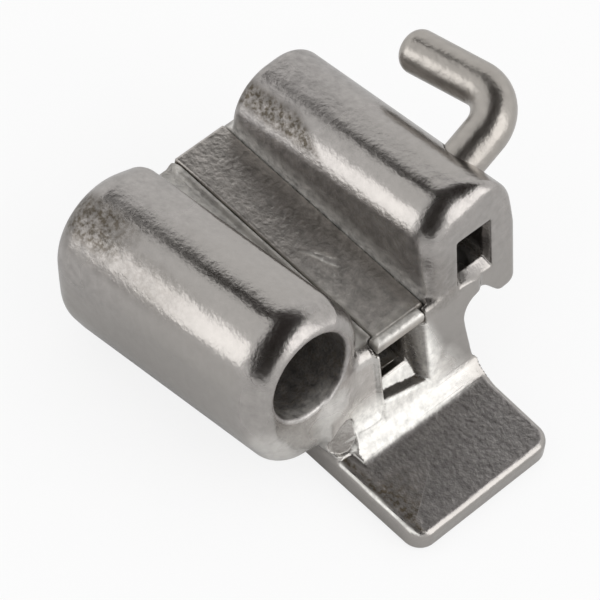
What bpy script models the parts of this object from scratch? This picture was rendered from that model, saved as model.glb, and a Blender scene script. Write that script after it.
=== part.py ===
"""Convertible triple buccal tube for an upper first molar: a one-piece casting, its welded slot cap and its hook.

Metres, +Z up. The origin is the centre of the flat weld base's underside, below the archwire slot. +X is mesial,
where the wires go in, +Y is the side of the auxiliary tube and the hook, and +Z is away from the tooth. The archwire
slot lies parallel to the base. The headgear tube and the auxiliary tube rise mesially by TUBE_PITCH, so they are
laid out in a frame of their own, whose origin is the centre of the headgear bore's mesial end.
"""

import math

import bmesh
import bpy
from mathutils import Matrix

# Weld base
BASE_LENGTH = 0.00548
BASE_WIDTH = 0.00223
BASE_THICKNESS = 0.00037
BASE_TAPER = math.radians(2.0)
BASE_SKEW = math.radians(1.4)
BASE_CORNER = 0.00024
BASE_EDGE_ROUND = 0.00011
BASE_BOTTOM_ROUND = 0.00009

# Block with the archwire slot
SLOT_WIDTH = 0.000457
SLOT_DEPTH = 0.000635
SLOT_FLOOR = 0.00081
MOUTH_WIDTH = 0.0007
MOUTH_OFFSET = 0.00004
MOUTH_DROP = 0.00013
MOUTH_SLANT = math.radians(13.0)
MOUTH_LENGTH = 0.00014
BLOCK_LENGTH = 0.00344
BLOCK_RIM = 0.00006
BLOCK_EDGE_ROUND = 0.00007
WEB_SIDE_INSET = 0.00002
WEB_TOP = 0.00152
WEB_STEP_LOW = 0.00058
WEB_SET_BACK = 0.00005
FRONT_WALL_X = 0.00101
FRONT_WALL_LEAN = math.radians(15.0)
FRONT_FILLET = 0.00022

# Slot cap with its nose, the bar across its front
CAP_WIDTH = 0.00078
CAP_THICKNESS = 0.00016
CAP_OFFSET = 0.00011
CAP_BEVEL = 0.00003
NOSE_WIDTH = 0.00076
NOSE_LENGTH = 0.00009
NOSE_OFFSET = 0.00004
NOSE_OVERHANG = 0.00002
SEAT_GAP = 0.00001

# Frame of the two tubes
TUBE_PITCH = math.radians(10.5)
TUBE_FACE_X = 0.00096
HEADGEAR_Y = -0.001385
HEADGEAR_HEIGHT = 0.00187
END_ROUND = 0.00028

# Headgear tube, a round crown on a deeper foot
HEADGEAR_BORE = 0.001143
HEADGEAR_WALL = 0.000287
HEADGEAR_LENGTH = 0.00352
HEADGEAR_DISTAL_ROUND = 0.00035
HEADGEAR_ROUND_SHARE = 0.6
BORE_CHAMFER = 0.00003
FOOT_DROP = 0.00042
FOOT_SLIMMING = 0.00005
HEEL_DROP = 0.00068
HEEL_SLIMMING = 0.00018
FOOT_SHIFT = 0.00003
FOOT_RELIEF = 0.00002

# Auxiliary tube with the tie lip beside its undercut
AUX_SLOT_WIDTH = 0.000457
AUX_SLOT_DEPTH = 0.000635
AUX_MOUTH_FLARE = 0.00005
AUX_MOUTH_SLANT = math.radians(12.0)
AUX_MOUTH_LENGTH = 0.00012
AUX_LENGTH = 0.00328
AUX_DISTAL_ROUND = 0.00014
AUX_ROUND_SHARE = 0.25
AUX_Y = 0.00263
AUX_Z = 0.00012
AUX_SIDE_WALL = 0.00039
AUX_ROOF = 0.00064
AUX_FOOT = 0.00024
AUX_FOOT_DROP = 0.00082
AUX_WALL_RADIUS = 0.0003
AUX_WALL_Z = 0.00012
LIP_RADIUS = 0.000155
LIP_REACH = 0.00006
LIP_DROP = 0.00050
UNDERCUT_RADIUS = 0.000255
UNDERCUT_FLOOR = 0.00034
UNDERCUT_OFFSET = 0.00003
UNDERCUT_OPENING = 0.0003
UNDERCUT_LIP_SHIFT = (0.00034, -0.00046)
UNDERCUT_WEB_SHIFT = (0.00016, -0.00081)

# Round relief between the headgear tube's foot and the flange
RELIEF_RADIUS = 0.00019
RELIEF_Y = 0.00042
RELIEF_Z = -0.00121
RELIEF_LENGTH = 0.00005
RELIEF_TAIL_RADIUS = 0.00013
RELIEF_TAIL_SHIFT = (-0.00002, -0.00029)

# Hook, a bent pin that stands square on the auxiliary tube's crown
HOOK_DIAMETER = 0.00055
HOOK_X = 0.00073
HOOK_RISE = math.radians(25.0)
HOOK_HEIGHT = 0.00087
HOOK_ARM = 0.00157
HOOK_SINK = math.radians(6.0)
HOOK_BEND = 0.00045
HOOK_TIP_ROUND = 0.00018
SOCKET_DEPTH = 0.00012

RING_STEPS = 96
BORE_STEPS = 72
END_STEPS = 6
HOOK_STEPS = 28
BEND_STEPS = 10

BASE_MIN_X = -BASE_LENGTH / 2
BASE_MAX_X = BASE_LENGTH / 2
BASE_MIN_Y = -BASE_WIDTH / 2
BASE_MAX_Y = BASE_WIDTH / 2
SLOT_TOP = SLOT_FLOOR + SLOT_DEPTH
BLOCK_TOP = SLOT_TOP + CAP_THICKNESS
BLOCK_MIN_X = FRONT_WALL_X - BLOCK_LENGTH
CAP_LEFT = CAP_OFFSET - CAP_WIDTH / 2
CAP_RIGHT = CAP_OFFSET + CAP_WIDTH / 2
HEADGEAR_RADIUS = HEADGEAR_BORE / 2 + HEADGEAR_WALL
AUX_RADIUS = AUX_SLOT_WIDTH / 2 + AUX_SIDE_WALL
AUX_CROWN_Z = AUX_Z + AUX_SLOT_DEPTH / 2 + AUX_ROOF - AUX_RADIUS
AUX_SLOT_FLOOR = AUX_Z - AUX_SLOT_DEPTH / 2
OVERRUN = 0.0004

TUBE_FRAME = Matrix.Translation((TUBE_FACE_X, HEADGEAR_Y, HEADGEAR_HEIGHT)) @ Matrix.Rotation(-TUBE_PITCH, 4, "Y")


def clear_scene():
    for obj in list(bpy.data.objects):
        bpy.data.objects.remove(obj, do_unlink=True)


def steel(name, colour, roughness):
    material = bpy.data.materials.new(name)
    material.use_nodes = True
    shader = material.node_tree.nodes["Principled BSDF"]
    shader.inputs["Base Color"].default_value = (*colour, 1.0)
    shader.inputs["Metallic"].default_value = 1.0
    shader.inputs["Roughness"].default_value = roughness
    return material


def hull_outline(circles, inset=0.0, share=1.0, steps=RING_STEPS):
    """The convex outline round circles (u, v, radius), moved in by inset, or by a share of a smaller circle's radius."""
    outline = []
    for step in range(steps):
        angle = 2 * math.pi * (step + 0.5) / steps
        cosine, sine = math.cos(angle), math.sin(angle)
        u, v, radius = max(circles, key=lambda c: c[0] * cosine + c[1] * sine + c[2])
        reach = radius - min(inset, share * radius)
        outline.append((u + reach * cosine, v + reach * sine))
    return outline


def offset_outline(outline, inset):
    """The outline (u, v), counterclockwise, moved in by inset along each corner's bisector."""
    moved = []
    for before, corner, after in zip(outline[-1:] + outline[:-1], outline, outline[1:] + outline[:1]):
        normals = []
        for start, end in ((before, corner), (corner, after)):
            length = math.dist(start, end)
            normals.append(((start[1] - end[1]) / length, (end[0] - start[0]) / length))
        (a, b), (c, d) = normals
        scale = inset / (1 + a * c + b * d)
        moved.append((corner[0] + scale * (a + c), corner[1] + scale * (b + d)))
    return moved


def rounded_stations(start, end, start_round, end_round, steps=END_STEPS):
    """Stations (position, inset) along a bar whose two ends are quarter rounds."""
    angles = [math.pi / 2 * step / steps for step in range(steps + 1)]
    head = [(start + start_round * (1 - math.cos(a)), start_round * (1 - math.sin(a))) for a in angles]
    tail = [(end - end_round * (1 - math.sin(a)), end_round * (1 - math.cos(a))) for a in angles]
    return head + tail


def loft(name, rings, frame=None):
    """A closed object through rings of equal point counts, with flat ends."""
    mesh = bmesh.new()
    loops = [[mesh.verts.new(point) for point in ring] for ring in rings]
    count = len(loops[0])
    for low, high in zip(loops, loops[1:]):
        for i in range(count):
            j = (i + 1) % count
            mesh.faces.new((low[i], low[j], high[j], high[i]))
    mesh.faces.new(list(reversed(loops[0])))
    mesh.faces.new(loops[-1])
    bmesh.ops.recalc_face_normals(mesh, faces=mesh.faces)
    if frame is not None:
        bmesh.ops.transform(mesh, matrix=frame, verts=mesh.verts)
    data = bpy.data.meshes.new(name)
    mesh.to_mesh(data)
    mesh.free()
    obj = bpy.data.objects.new(name, data)
    bpy.context.scene.collection.objects.link(obj)
    return obj


def barrel(name, circles, stations, share):
    """A bar along the tubes' own X. Its ends are rounded, on a small circle by a share of its radius at most."""
    rings = [[(x, y, z) for y, z in hull_outline(circles, inset, share)] for x, inset in stations]
    return loft(name, rings, TUBE_FRAME)


def slab(name, profile, low_y, high_y):
    """A side profile (x, z) drawn out along Y."""
    return loft(name, [[(x, y, z) for x, z in profile] for y in (low_y, high_y)])


def box(name, low, high):
    profile = [(low[0], low[2]), (high[0], low[2]), (high[0], high[2]), (low[0], high[2])]
    return slab(name, profile, low[1], high[1])


def combine(body, other, operation):
    """A live Boolean on body. The other object stays as a helper."""
    other.hide_render = True
    other.display_type = "WIRE"
    modifier = body.modifiers.new(f"{operation.lower()}_{other.name}", "BOOLEAN")
    modifier.operation = operation
    modifier.solver = "EXACT"
    modifier.object = other


def front_wall_x(z):
    return FRONT_WALL_X + math.tan(FRONT_WALL_LEAN) * (BLOCK_TOP - z)


def base_plate(name):
    """The weld base with its two flanges: rounded corners and edges, thinner towards the mesial edge."""
    low_y, high_y = BASE_MIN_Y + BASE_CORNER, BASE_MAX_Y - BASE_CORNER
    low_x, high_x = BASE_MIN_X + BASE_CORNER, BASE_MAX_X - BASE_CORNER
    set_back = math.tan(BASE_SKEW) * (high_y - low_y)
    corners = [(x, y, BASE_CORNER) for x, y in ((high_x, low_y), (high_x - set_back, high_y), (low_x, low_y), (low_x, high_y))]
    rings = []
    for level, inset in rounded_stations(0.0, BASE_THICKNESS, BASE_BOTTOM_ROUND, BASE_EDGE_ROUND):
        slope = math.tan(BASE_TAPER) * level / BASE_THICKNESS
        rings.append([(x, y, level - slope * (x - FRONT_WALL_X)) for x, y in hull_outline(corners, inset)])
    return loft(name, rings)


def block_profile():
    """Side view of the block and its web: the leaning front wall runs out into the flange in a fillet."""
    turn = math.pi / 2 - FRONT_WALL_LEAN
    centre_z = BASE_THICKNESS + 0.9 * FRONT_FILLET
    tangent_z = centre_z - FRONT_FILLET * math.sin(FRONT_WALL_LEAN)
    centre_x = front_wall_x(tangent_z) + FRONT_FILLET * math.cos(FRONT_WALL_LEAN)
    profile = [
        (BLOCK_MIN_X, BASE_THICKNESS / 2),
        (BLOCK_MIN_X, BLOCK_TOP - BLOCK_EDGE_ROUND),
        (BLOCK_MIN_X + BLOCK_EDGE_ROUND * (1 - math.sqrt(0.5)), BLOCK_TOP - BLOCK_EDGE_ROUND * (1 - math.sqrt(0.5))),
        (BLOCK_MIN_X + BLOCK_EDGE_ROUND, BLOCK_TOP),
        (front_wall_x(BLOCK_TOP), BLOCK_TOP),
    ]
    for step in range(END_STEPS + 1):
        angle = math.pi + FRONT_WALL_LEAN + turn * step / END_STEPS
        profile.append((centre_x + FRONT_FILLET * math.cos(angle), centre_z + FRONT_FILLET * math.sin(angle)))
    profile.append((centre_x, BASE_THICKNESS / 2))
    return profile


def web_step():
    """Lowers the web between the block and the headgear tube, and sets its front back behind the tube's end."""
    top = BLOCK_TOP + OVERRUN
    profile = [
        (BLOCK_MIN_X - OVERRUN, WEB_TOP),
        (front_wall_x(WEB_TOP) - WEB_SET_BACK, WEB_TOP),
        (front_wall_x(WEB_STEP_LOW) - WEB_SET_BACK, WEB_STEP_LOW),
        (front_wall_x(WEB_STEP_LOW) + OVERRUN, WEB_STEP_LOW),
        (front_wall_x(WEB_STEP_LOW) + OVERRUN, top),
        (BLOCK_MIN_X - OVERRUN, top),
    ]
    return slab("web_step", profile, BASE_MIN_Y - OVERRUN, CAP_LEFT - BLOCK_RIM)


def headgear_barrel():
    circles = [
        (0.0, 0.0, HEADGEAR_RADIUS),
        (-FOOT_SHIFT, -FOOT_DROP, HEADGEAR_RADIUS - FOOT_SLIMMING),
        (-FOOT_SHIFT, -HEEL_DROP, HEADGEAR_RADIUS - HEEL_SLIMMING),
    ]
    stations = rounded_stations(-HEADGEAR_LENGTH, 0.0, HEADGEAR_DISTAL_ROUND, END_ROUND)
    bar = barrel("headgear_barrel", circles, stations, HEADGEAR_ROUND_SHARE)
    reach = HEADGEAR_LENGTH + OVERRUN
    low = (TUBE_FACE_X - reach, HEADGEAR_Y - reach, -reach)
    high = (TUBE_FACE_X + reach, HEADGEAR_Y + reach, FOOT_RELIEF)
    combine(bar, box("below_base", low, high), "DIFFERENCE")
    return bar


def auxiliary_barrel():
    """A round crown over the slot, a foot on the block side, and the tie lip hanging on the other side."""
    lip_side = AUX_Y + AUX_RADIUS + LIP_REACH
    circles = [
        (AUX_Y, AUX_CROWN_Z, AUX_RADIUS),
        (AUX_Y - AUX_RADIUS + AUX_FOOT, AUX_Z - AUX_FOOT_DROP, AUX_FOOT),
        (lip_side - AUX_WALL_RADIUS, AUX_WALL_Z, AUX_WALL_RADIUS),
        (lip_side - LIP_RADIUS, AUX_SLOT_FLOOR - LIP_DROP, LIP_RADIUS),
    ]
    stations = rounded_stations(-AUX_LENGTH, 0.0, AUX_DISTAL_ROUND, END_ROUND)
    return barrel("auxiliary_barrel", circles, stations, AUX_ROUND_SHARE)


def undercut():
    """The hollow below the auxiliary slot. It opens downwards between the tie lip and the web."""
    y = AUX_Y + UNDERCUT_OFFSET
    z = AUX_SLOT_FLOOR - UNDERCUT_FLOOR - UNDERCUT_RADIUS
    circles = [(y, z, UNDERCUT_RADIUS)]
    for shift_y, shift_z in (UNDERCUT_LIP_SHIFT, UNDERCUT_WEB_SHIFT):
        circles.append((y + shift_y, z + shift_z, UNDERCUT_OPENING))
    rings = [[(x, *point) for point in hull_outline(circles)] for x in (-AUX_LENGTH - OVERRUN, 2 * OVERRUN)]
    return loft("undercut", rings, TUBE_FRAME)


def headgear_bore():
    radius = HEADGEAR_BORE / 2
    stations = [
        (-HEADGEAR_LENGTH - BORE_CHAMFER, radius + 2 * BORE_CHAMFER),
        (-HEADGEAR_LENGTH + BORE_CHAMFER, radius),
        (-BORE_CHAMFER, radius),
        (BORE_CHAMFER, radius + 2 * BORE_CHAMFER),
    ]
    rings = [[(x, y, z) for y, z in hull_outline([(0, 0, r)], steps=BORE_STEPS)] for x, r in stations]
    return loft("headgear_bore", rings, TUBE_FRAME)


def auxiliary_slot():
    """The slot, and a mouth that widens towards the mesial end, most of all at the floor on the tie lip's side."""
    rings = []
    for x in (-AUX_LENGTH - OVERRUN, -AUX_MOUTH_LENGTH, OVERRUN):
        share = max(0.0, x + AUX_MOUTH_LENGTH) / AUX_MOUTH_LENGTH
        flare = share * AUX_MOUTH_FLARE
        low_y, high_y = AUX_Y - AUX_SLOT_WIDTH / 2 - flare, AUX_Y + AUX_SLOT_WIDTH / 2 + flare
        floor = AUX_SLOT_FLOOR - flare
        roof = AUX_SLOT_FLOOR + AUX_SLOT_DEPTH
        slant = share * AUX_SLOT_WIDTH * math.tan(AUX_MOUTH_SLANT)
        rings.append([(x, low_y, floor), (x, high_y, floor - slant), (x, high_y, roof), (x, low_y, roof)])
    return loft("auxiliary_slot", rings, TUBE_FRAME)


def slot_mouth():
    """The wider, deeper mouth in front of the archwire slot. Its back wall is parallel to the front wall."""
    top = SLOT_TOP + CAP_THICKNESS / 2
    rings = []
    for side in (-0.5, 0.5):
        floor = SLOT_FLOOR - MOUTH_DROP - side * MOUTH_WIDTH * math.tan(MOUTH_SLANT)
        back_low, back_high = front_wall_x(floor) - MOUTH_LENGTH, front_wall_x(top) - MOUTH_LENGTH
        y = MOUTH_OFFSET + side * MOUTH_WIDTH
        front_low, front_high = back_low + MOUTH_LENGTH + OVERRUN, back_high + MOUTH_LENGTH + OVERRUN
        rings.append([(back_low, y, floor), (front_low, y, floor), (front_high, y, top), (back_high, y, top)])
    return loft("slot_mouth", rings)


def foot_relief():
    """The round hollow between the headgear tube's foot and the web. Its tail frees the web from the flange's edge."""
    shift_y, shift_z = RELIEF_TAIL_SHIFT
    circles = [(RELIEF_Y, RELIEF_Z, RELIEF_RADIUS), (RELIEF_Y + shift_y, RELIEF_Z + shift_z, RELIEF_TAIL_RADIUS)]
    outline = hull_outline(circles, steps=BORE_STEPS)
    rings = [[(x, y, z) for y, z in outline] for x in (-RELIEF_LENGTH, OVERRUN)]
    return loft("foot_relief", rings, TUBE_FRAME)


def cap_outline(grow=0.0, overrun=0.0):
    """Plan of the cap: a strip with its nose across the front."""
    back = BLOCK_MIN_X - overrun
    front = FRONT_WALL_X + NOSE_OVERHANG + overrun
    step = front_wall_x(BLOCK_TOP) - NOSE_LENGTH
    nose_left, nose_right = NOSE_OFFSET - NOSE_WIDTH / 2, NOSE_OFFSET + NOSE_WIDTH / 2
    outline = [
        (back, CAP_LEFT),
        (step, CAP_LEFT),
        (step, nose_left),
        (front, nose_left),
        (front, nose_right),
        (step, nose_right),
        (step, CAP_RIGHT),
        (back, CAP_RIGHT),
    ]
    return offset_outline(outline, -grow)


def slot_cap():
    low = SLOT_TOP + SEAT_GAP
    high = low + CAP_THICKNESS
    rings = []
    for z, inset in ((low, 0.0), (high - CAP_BEVEL, 0.0), (high, CAP_BEVEL)):
        rings.append([(x, y, z) for x, y in offset_outline(cap_outline(), inset)])
    return loft("slot_cap", rings)


def cap_seat():
    outline = cap_outline(SEAT_GAP, OVERRUN)
    return loft("cap_seat", [[(x, y, z) for x, y in outline] for z in (SLOT_TOP, BLOCK_TOP + OVERRUN)])


def hook_frame():
    """Frame on the crown's axis, with +Z square out of the crown where the hook stands and -X distal."""
    turn = Matrix.Rotation(HOOK_RISE - math.pi / 2, 4, "X")
    return TUBE_FRAME @ Matrix.Translation((-HOOK_X, AUX_Y, AUX_CROWN_Z)) @ turn


def hook():
    radius = HOOK_DIAMETER / 2
    root = AUX_RADIUS - SOCKET_DEPTH + SEAT_GAP
    corner = AUX_RADIUS + HOOK_HEIGHT
    bend_turn = math.pi / 2 + HOOK_SINK
    tangent = HOOK_BEND * math.tan(bend_turn / 2)
    path = [(0.0, root, 0.0, radius)]
    for step in range(BEND_STEPS + 1):
        angle = bend_turn * step / BEND_STEPS
        path.append((HOOK_BEND * (math.cos(angle) - 1), corner - tangent + HOOK_BEND * math.sin(angle), angle, radius))
    end_x, end_z = path[-1][:2]
    along = (-math.sin(bend_turn), math.cos(bend_turn))
    straight = HOOK_ARM - tangent - HOOK_TIP_ROUND
    for step in range(END_STEPS + 1):
        angle = math.pi / 2 * step / END_STEPS
        run = straight + HOOK_TIP_ROUND * math.sin(angle)
        girth = radius - HOOK_TIP_ROUND * (1 - math.cos(angle))
        path.append((end_x + run * along[0], end_z + run * along[1], bend_turn, girth))
    rings = []
    for x, z, angle, girth in path:
        ring = []
        for step in range(HOOK_STEPS):
            turn = 2 * math.pi * step / HOOK_STEPS
            side = girth * math.cos(turn)
            ring.append((x + side * math.cos(angle), girth * math.sin(turn), z + side * math.sin(angle)))
        rings.append(ring)
    return loft("hook", rings, hook_frame())


def hook_socket():
    radius = HOOK_DIAMETER / 2 + SEAT_GAP
    rings = [
        [(x, y, z) for x, y in hull_outline([(0, 0, radius)], steps=BORE_STEPS)]
        for z in (AUX_RADIUS - SOCKET_DEPTH, AUX_RADIUS + OVERRUN)
    ]
    return loft("hook_socket", rings, hook_frame())


def tube_body():
    body = slab("tube_body", block_profile(), BASE_MIN_Y + WEB_SIDE_INSET, HEADGEAR_Y + AUX_Y)
    combine(body, web_step(), "DIFFERENCE")
    combine(body, headgear_barrel(), "UNION")
    combine(body, auxiliary_barrel(), "UNION")
    combine(body, undercut(), "DIFFERENCE")
    combine(body, foot_relief(), "DIFFERENCE")
    combine(body, base_plate("weld_base"), "UNION")
    low = (BLOCK_MIN_X - OVERRUN, -SLOT_WIDTH / 2, SLOT_FLOOR)
    high = (front_wall_x(SLOT_FLOOR) + OVERRUN, SLOT_WIDTH / 2, SLOT_TOP + CAP_THICKNESS / 2)
    cutters = [
        headgear_bore(),
        auxiliary_slot(),
        box("archwire_slot", low, high),
        slot_mouth(),
        cap_seat(),
        hook_socket(),
    ]
    for cutter in cutters:
        combine(body, cutter, "DIFFERENCE")
    return body


def finish(obj, material):
    obj.data.materials.append(material)
    obj.data.shade_smooth()
    obj.data.set_sharp_from_angle(angle=math.radians(30))


def main():
    clear_scene()
    finish(tube_body(), steel("cast_steel", (0.60, 0.58, 0.55), 0.25))
    finish(slot_cap(), steel("rolled_steel", (0.42, 0.41, 0.40), 0.45))
    finish(hook(), steel("drawn_steel", (0.62, 0.60, 0.57), 0.22))


main()
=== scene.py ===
"""A steel orthodontic molar tube on a plain white table, photographed close up from above its mesial end.

Lengths in the shape functions are millimetres in the part's frame; the meshes are written in metres.
The casting and its cap are level sets of signed distances, so that every inner and outer corner can
have its own soft radius.
"""

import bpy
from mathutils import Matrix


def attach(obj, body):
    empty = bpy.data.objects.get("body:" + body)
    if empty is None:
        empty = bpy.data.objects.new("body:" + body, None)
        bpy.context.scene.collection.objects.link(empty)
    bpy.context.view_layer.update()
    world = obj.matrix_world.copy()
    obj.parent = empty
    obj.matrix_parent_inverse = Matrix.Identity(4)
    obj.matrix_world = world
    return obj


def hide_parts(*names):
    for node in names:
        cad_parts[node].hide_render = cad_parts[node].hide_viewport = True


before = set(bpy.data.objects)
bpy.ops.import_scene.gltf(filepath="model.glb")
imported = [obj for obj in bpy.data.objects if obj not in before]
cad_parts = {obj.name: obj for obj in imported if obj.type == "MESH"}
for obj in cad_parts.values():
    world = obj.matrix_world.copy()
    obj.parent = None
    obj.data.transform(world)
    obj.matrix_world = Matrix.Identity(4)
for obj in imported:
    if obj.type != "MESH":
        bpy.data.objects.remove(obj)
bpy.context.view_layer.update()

import math

import bpy
import numpy as np
from mathutils import Matrix

MM = 0.001

# Sizes, as in the solid model

TUBE_PITCH = math.radians(10.5)
TUBE_ORIGIN = (0.96, -1.385, 1.87)

BASE_HALF = (2.74, 1.115)
BASE_THICKNESS = 0.37
BASE_CORNER = 0.24
BASE_UPPER_ROUND = 0.09
BASE_LOWER_ROUND = 0.08
BASE_TAPER = math.radians(2.0)
BASE_SKEW = math.radians(1.4)

BLOCK_BACK = -2.43
BLOCK_TOP = 1.605
BLOCK_SIDES = (-0.34, 1.245)
WEB_TOP = 1.52
WEB_LEFT = -1.095
WEB_SET_BACK = 0.045
WEB_STEP_LOW = 0.58
WALL_X = 1.01
WALL_LEAN = math.radians(15.0)

SLOT_HALF_WIDTH = 0.2285
SLOT_FLOOR = 0.81
SLOT_TOP = 1.445
MOUTH_SIDES = (-0.31, 0.39)
MOUTH_FLOOR = 0.68
MOUTH_SLANT = math.radians(13.0)
MOUTH_LENGTH = 0.14

CAP_SIDES = (-0.28, 0.50)
CAP_THICKNESS = 0.16
NOSE_SIDES = (-0.34, 0.42)
NOSE_LENGTH = 0.09
NOSE_FRONT = 1.03
SEAT_GAP = 0.01

HEADGEAR_LENGTH = 3.52
HEADGEAR_CIRCLES = [
    (0.0, 0.0, 0.8585),
    (0.455, 0.597, 0.15),
    (-0.03, -0.42, 0.8085),
    (-0.03, -0.68, 0.6785),
]
HEADGEAR_BORE = 0.5715

AUX_LENGTH = 3.28
AUX_Y = 2.63
AUX_Z = 0.12
AUX_CROWN = (2.63, 0.459)
AUX_CIRCLES = [
    (2.49, 0.432, 0.62),
    (2.64, 0.437, 0.62),
    (2.18, -0.70, 0.24),
    (3.0085, 0.12, 0.30),
    (3.1535, -0.6975, 0.155),
]
AUX_MOUTH_LENGTH = 0.12
AUX_MOUTH_FLARE = 0.42
AUX_SLOT_HALF = (0.2285, 0.3175)
UNDERCUT_CIRCLES = [(2.66, -0.7925, 0.255), (3.0, -1.2525, 0.30), (2.82, -1.6025, 0.30)]
RELIEF_CIRCLES = [(0.42, -1.21, 0.19), (0.42, -1.36, 0.17)]
RELIEF_PLANE = (1.16, 0.28, -0.45)

BAND_SLOPE = math.radians(30.0)
BAND_FOOT = (1.55, 0.355)
CREASE = [(-0.32, 0.69), (-0.335, 0.60), (-0.36, 0.52), (-0.44, 0.505), (-0.52, 0.505), (-0.74, 0.53)]

PINCHES = [
    (-0.42, -0.02, 0.5, 0.10, 0.014),
    (-0.36, 0.05, 0.8, 0.07, -0.012),
    (-0.29, 0.02, 0.3, 0.09, 0.016),
    (-0.24, 0.11, 0.6, 0.08, -0.010),
    (-0.16, 0.07, 0.4, 0.07, 0.012),
]

HOOK_RADIUS = 0.275
HOOK_X = -0.73
HOOK_RISE = math.radians(25.0)
HOOK_CORNER = 1.4885
HOOK_ROOT = 0.5085
HOOK_ARM = 1.57
HOOK_SINK = math.radians(6.0)
HOOK_BEND = 0.45
HOOK_TIP_ROUND = 0.18

CAST_STEP = 0.023
CAP_STEP = 0.020
MOST_TRIANGLES = 190000


# Signed distances

def smooth_min(a, b, k):
    """The smaller of two distances, with a fillet where they meet."""
    h = np.maximum(k - np.abs(a - b), 0.0) / k
    return np.minimum(a, b) - h * h * k / 4


def smooth_max(a, b, k):
    return -smooth_min(-a, -b, k)


def carve(body, tool, k):
    """Takes the tool away from the body and breaks the edge."""
    return smooth_max(body, -tool, k)


def ramp(value, low, high):
    """0 at low, 1 at high and smooth between; high may be the smaller of the two."""
    t = np.clip((value - low) / (high - low), 0.0, 1.0)
    return t * t * (3 - 2 * t)


def span(value, low, high):
    """Distance to the stretch between two planes."""
    return np.maximum(low - value, value - high)


class Section:
    """Distance to the convex shape round a few circles, kept as a table that points look up."""

    STEP = 0.01
    MARGIN = 1.2

    def __init__(self, circles):
        angles = np.arange(192) * (2 * math.pi / 192)
        normals = np.stack([np.cos(angles), np.sin(angles)], axis=1)
        support = np.max([normals @ (u, v) + radius for u, v, radius in circles], axis=0)
        low = [min(c[i] - c[2] for c in circles) - self.MARGIN for i in (0, 1)]
        high = [max(c[i] + c[2] for c in circles) + self.MARGIN for i in (0, 1)]
        u = np.arange(low[0], high[0], self.STEP)
        v = np.arange(low[1], high[1], self.STEP)
        table = np.full((len(u), len(v)), -np.inf)
        for normal, reach in zip(normals, support):
            table = np.maximum(table, u[:, None] * normal[0] + v[None, :] * normal[1] - reach)
        self.low, self.table = low, table

    def __call__(self, u, v):
        a = np.clip((u - self.low[0]) / self.STEP, 0, self.table.shape[0] - 1.001)
        b = np.clip((v - self.low[1]) / self.STEP, 0, self.table.shape[1] - 1.001)
        i, j = a.astype(int), b.astype(int)
        a, b = a - i, b - j
        t = self.table
        near = t[i, j] * (1 - b) + t[i, j + 1] * b
        far = t[i + 1, j] * (1 - b) + t[i + 1, j + 1] * b
        return near * (1 - a) + far * a


def rounded_end(side, end, radius, stretch=1.0):
    """A side and an end wall joined by a quarter round, which a stretch over 1 draws out along the side."""
    end = end / stretch
    a = np.maximum(side + radius, 0.0)
    b = np.maximum(end + radius, 0.0)
    return np.minimum(np.maximum(side, end) + radius, 0.0) + np.hypot(a, b) - radius


def tube_axes(x, y, z):
    """The same points along and across the two tubes."""
    c, s = math.cos(TUBE_PITCH), math.sin(TUBE_PITCH)
    dx, dz = x - TUBE_ORIGIN[0], z - TUBE_ORIGIN[2]
    return dx * c + dz * s, y - TUBE_ORIGIN[1], dz * c - dx * s


def wall_distance(x, z, set_back=0.0):
    """Distance in front of the leaning front wall."""
    lean = math.tan(WALL_LEAN)
    return (x - WALL_X + set_back - lean * (BLOCK_TOP - z)) * math.cos(WALL_LEAN)


headgear_section = Section(HEADGEAR_CIRCLES)
aux_section = Section(AUX_CIRCLES)
undercut_section = Section(UNDERCUT_CIRCLES)
relief_section = Section(RELIEF_CIRCLES)


def headgear(X, Y, Z, z):
    """The round tube. Its mesial end is drawn out over the top, and its foot stays above the table."""
    side = headgear_section(Y, Z)
    top = ramp(Z - 0.6 * Y, -0.3, 0.6)
    mesial = 0.27 + 0.05 * ramp(-Z, 0.4, 1.0)
    bar = rounded_end(side, X, mesial, 1.0 + 0.6 * top)
    bar = np.maximum(bar, rounded_end(side, -HEADGEAR_LENGTH - X, 0.37))
    return smooth_max(bar, 0.02 - z, 0.08)


def auxiliary(X, Y, Z):
    """The tube with the rectangular passage, softer towards the cap than on its outer side."""
    side = aux_section(Y, Z)
    left = ramp(AUX_Y + 0.45 - Y, 0.0, 0.7) * ramp(Z, -0.75, 0.35)
    mesial = 0.10 + 0.20 * left
    bar = rounded_end(side, X, mesial, 1.0 + 0.25 * left)
    return np.maximum(bar, rounded_end(side, -AUX_LENGTH - X, 0.15))


def block(x, y, z):
    """The block that holds the archwire slot, with the lower web between it and the headgear tube."""
    top = smooth_max(z - BLOCK_TOP, BLOCK_BACK - x, 0.14)
    tall = smooth_max(span(y, *BLOCK_SIDES), smooth_max(top, wall_distance(x, z), 0.06), 0.06)
    web = smooth_max(span(y, WEB_LEFT, BLOCK_SIDES[1]), BLOCK_BACK - x, 0.06)
    beside = ramp(BLOCK_SIDES[0] + 0.04 - y, 0.0, 0.10)
    above = ramp(z, WEB_STEP_LOW - 0.06, WEB_STEP_LOW + 0.04)
    wall = wall_distance(x, z, WEB_SET_BACK * beside * above)
    web = smooth_max(web, smooth_max(z - WEB_TOP, wall, 0.16), 0.05)
    both = smooth_min(tall, web, 0.08)
    return np.maximum(both, 0.15 - z)


def flange_top(x):
    """Height of the base, which gets thinner towards the mesial end."""
    return BASE_THICKNESS - math.tan(BASE_TAPER) * (x - WALL_X)


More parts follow.
